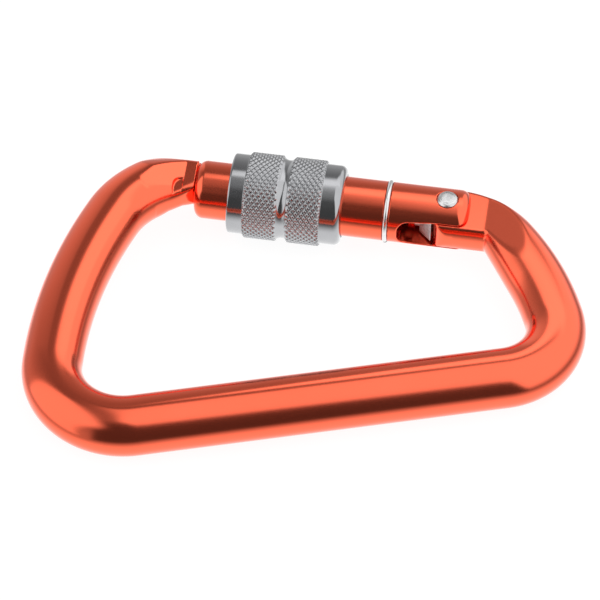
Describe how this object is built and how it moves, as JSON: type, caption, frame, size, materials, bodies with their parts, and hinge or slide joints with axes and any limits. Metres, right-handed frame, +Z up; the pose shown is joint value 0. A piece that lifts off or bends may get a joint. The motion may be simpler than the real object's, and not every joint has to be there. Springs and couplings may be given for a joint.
{
  "type": "screw-lock carabiner",
  "caption": "Offset-D carabiner of round rod with a sprung inward gate on a rivet and a knurled screw sleeve that locks the gate over the nose.",
  "frame": {"origin": "middle of the loop's box in plan, on the level of the sleeve's underside, which is the part's lowest point", "axes": "+X along the spine towards the hinge end, +Y across the loop towards the gate, +Z up, square to the loop's plane"},
  "size_m": [0.1124, 0.073, 0.0176],
  "materials": {
    "orange_anodised": "bright orange anodised over a polished forging",
    "silver_sleeve": "clear anodised, turned and knurled",
    "bright_steel": "bright drawn wire and peened rivet",
    "spring_steel": "plain spring wire",
    "plunger_steel": "dull grey stamped steel"
  },
  "bodies": {
    "body": {"body": "orange_anodised"},
    "gate": {"gate_barrel": "orange_anodised", "sleeve_stop_ring": "bright_steel", "hinge_rivet": "bright_steel", "gate_spring": "spring_steel"},
    "sleeve": {"locking_sleeve": "silver_sleeve"},
    "plunger": {"spring_plunger": "plunger_steel"}
  },
  "joints": [
    {"name": "gate_hinge", "type": "hinge", "parent": "body", "child": "gate", "pos_m": [0.03406, 0.01216, 0.0088], "axis": [0, 0, 1], "range_deg": [0, 25], "stiffness_Nm_per_rad": 0.35, "springref_deg": -34.38},
    {"name": "sleeve_travel", "type": "slide", "parent": "gate", "child": "sleeve", "axis": [-0.9501, 0.3118, 0], "range_m": [-0.0083, 0.0107]},
    {"name": "plunger_slide", "type": "slide", "parent": "gate", "child": "plunger", "axis": [-0.9501, 0.3118, 0], "range_m": [0, 0.00135], "deforming": ["gate_spring"]}
  ],
  "couplings": [
    {"joint": "plunger_slide", "follows": "gate_hinge", "m_per_rad": 0.003}
  ]
}
